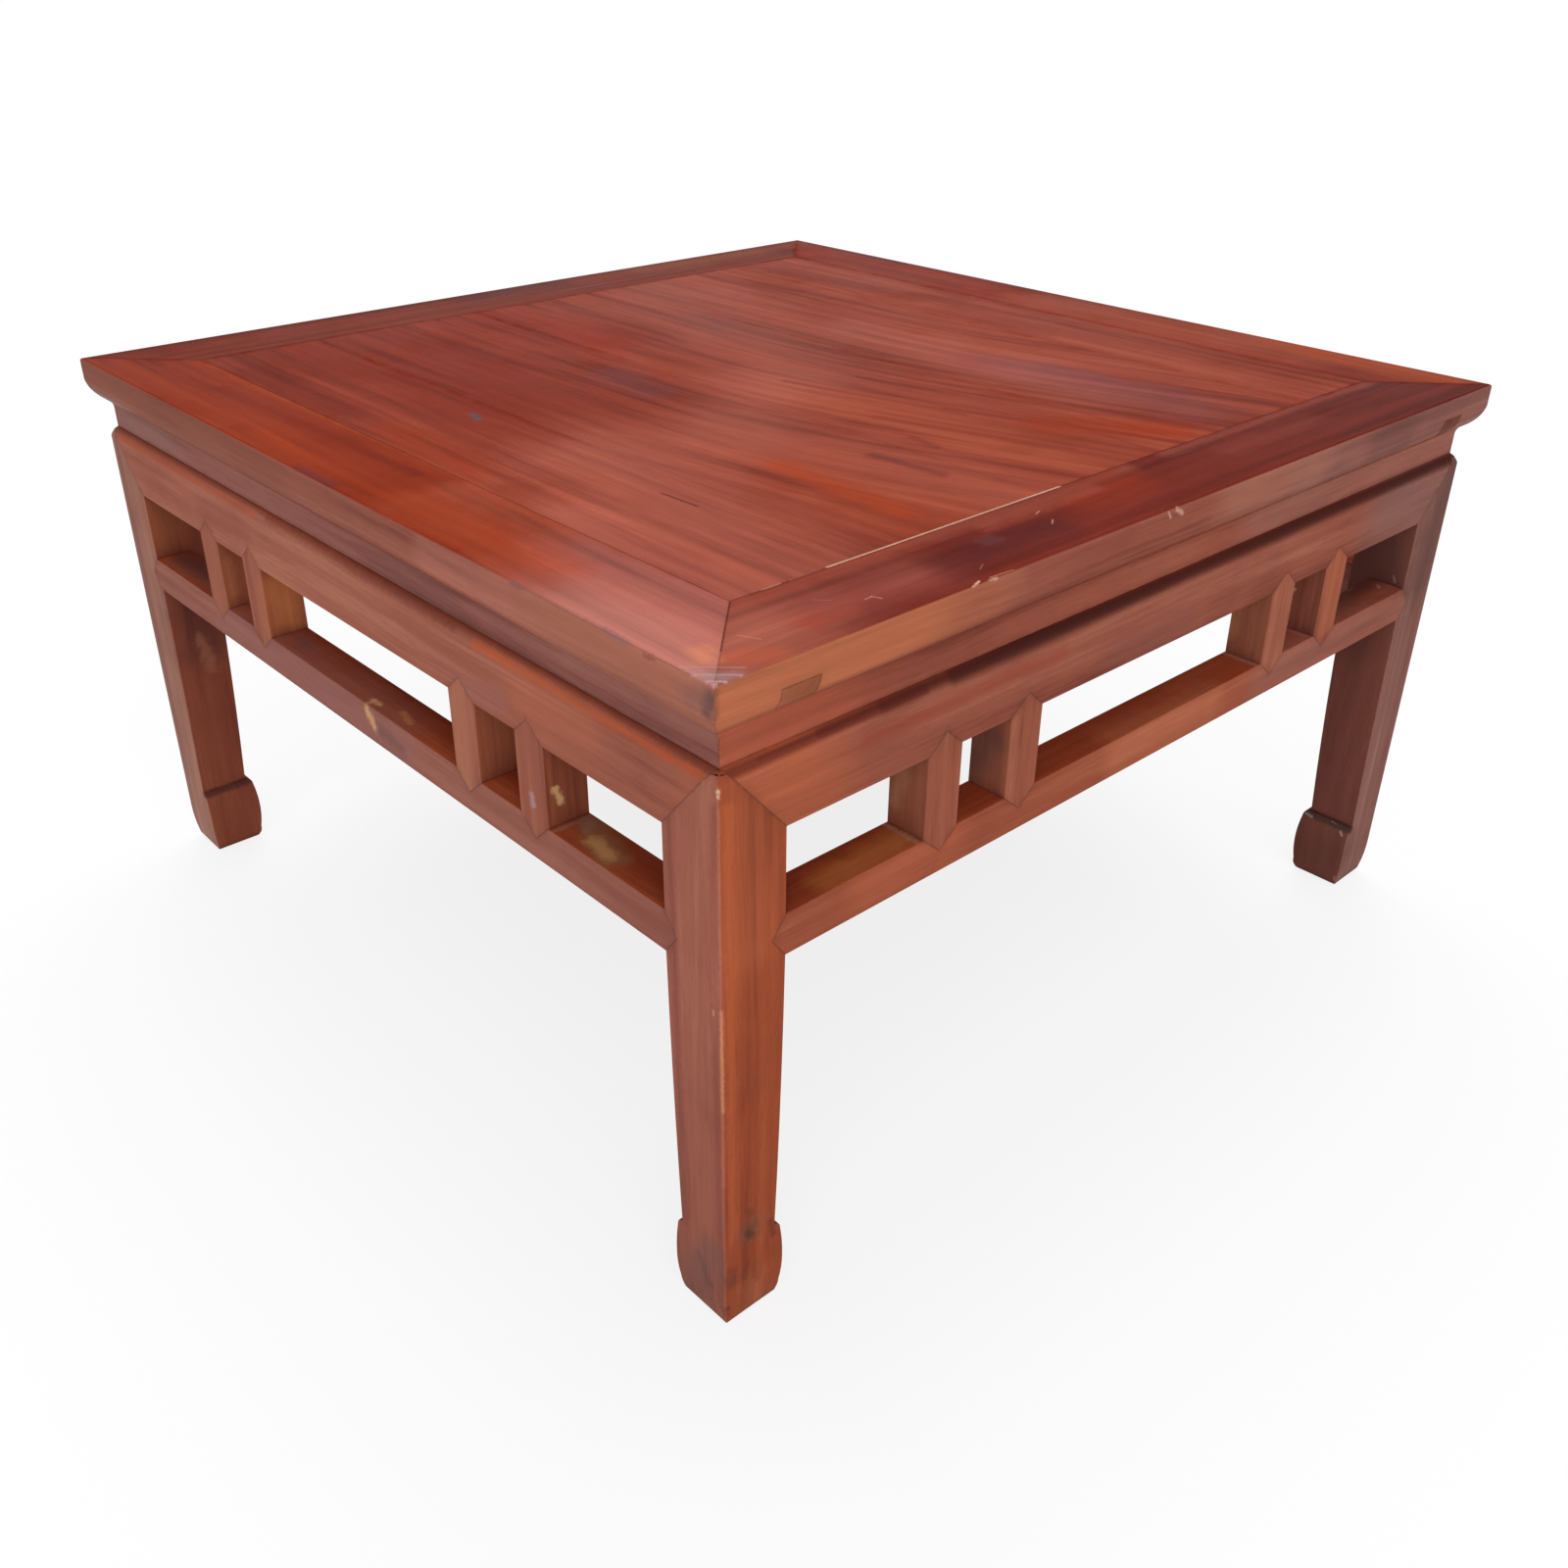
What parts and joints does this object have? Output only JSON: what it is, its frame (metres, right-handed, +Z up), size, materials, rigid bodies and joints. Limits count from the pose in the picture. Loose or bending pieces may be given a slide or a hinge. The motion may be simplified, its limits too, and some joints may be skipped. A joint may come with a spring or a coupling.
{
  "type": "kang table",
  "caption": "Low square wooden table with a flush floating panel, recessed waist, open frieze of short struts and square legs that end in inward hoof feet.",
  "frame": {"origin": "on the floor, under the middle of the top", "axes": "+Z up out of the table top, -Y towards the front, -X towards the left side; the table is as wide as it is deep"},
  "size_m": [0.84, 0.84, 0.48],
  "materials": {
    "rail_wood": "satin varnish over reddish brown stain",
    "panel_wood": "satin varnish over red stain, worn",
    "batten_wood": "thin stain, unpolished underside",
    "waist_wood": "satin varnish over red-brown stain",
    "apron_wood": "satin varnish over red-brown stain",
    "strut_wood": "satin varnish over red-brown stain",
    "stretcher_wood": "satin varnish over red-brown stain",
    "leg_wood": "satin varnish over red-brown stain, worn at the feet"
  },
  "bodies": {
    "root": {"long_rail_left": "rail_wood", "long_rail_right": "rail_wood", "short_rail_front": "rail_wood", "short_rail_back": "rail_wood", "panel_board_1": "panel_wood", "panel_board_2": "panel_wood", "panel_board_3": "panel_wood", "panel_board_4": "panel_wood", "panel_board_5": "panel_wood", "batten_front": "batten_wood", "batten_middle": "batten_wood", "batten_back": "batten_wood", "waist_front": "waist_wood", "waist_right": "waist_wood", "waist_back": "waist_wood", "waist_left": "waist_wood", "apron_front": "apron_wood", "apron_right": "apron_wood", "apron_back": "apron_wood", "apron_left": "apron_wood", "strut_front_1": "strut_wood", "strut_front_2": "strut_wood", "strut_front_3": "strut_wood", "strut_front_4": "strut_wood", "strut_right_1": "strut_wood", "strut_right_2": "strut_wood", "strut_right_3": "strut_wood", "strut_right_4": "strut_wood", "strut_back_1": "strut_wood", "strut_back_2": "strut_wood", "strut_back_3": "strut_wood", "strut_back_4": "strut_wood", "strut_left_1": "strut_wood", "strut_left_2": "strut_wood", "strut_left_3": "strut_wood", "strut_left_4": "strut_wood", "stretcher_front": "stretcher_wood", "stretcher_right": "stretcher_wood", "stretcher_back": "stretcher_wood", "stretcher_left": "stretcher_wood", "leg_front_left": "leg_wood", "leg_front_right": "leg_wood", "leg_back_right": "leg_wood", "leg_back_left": "leg_wood"}
  },
  "joints": []
}
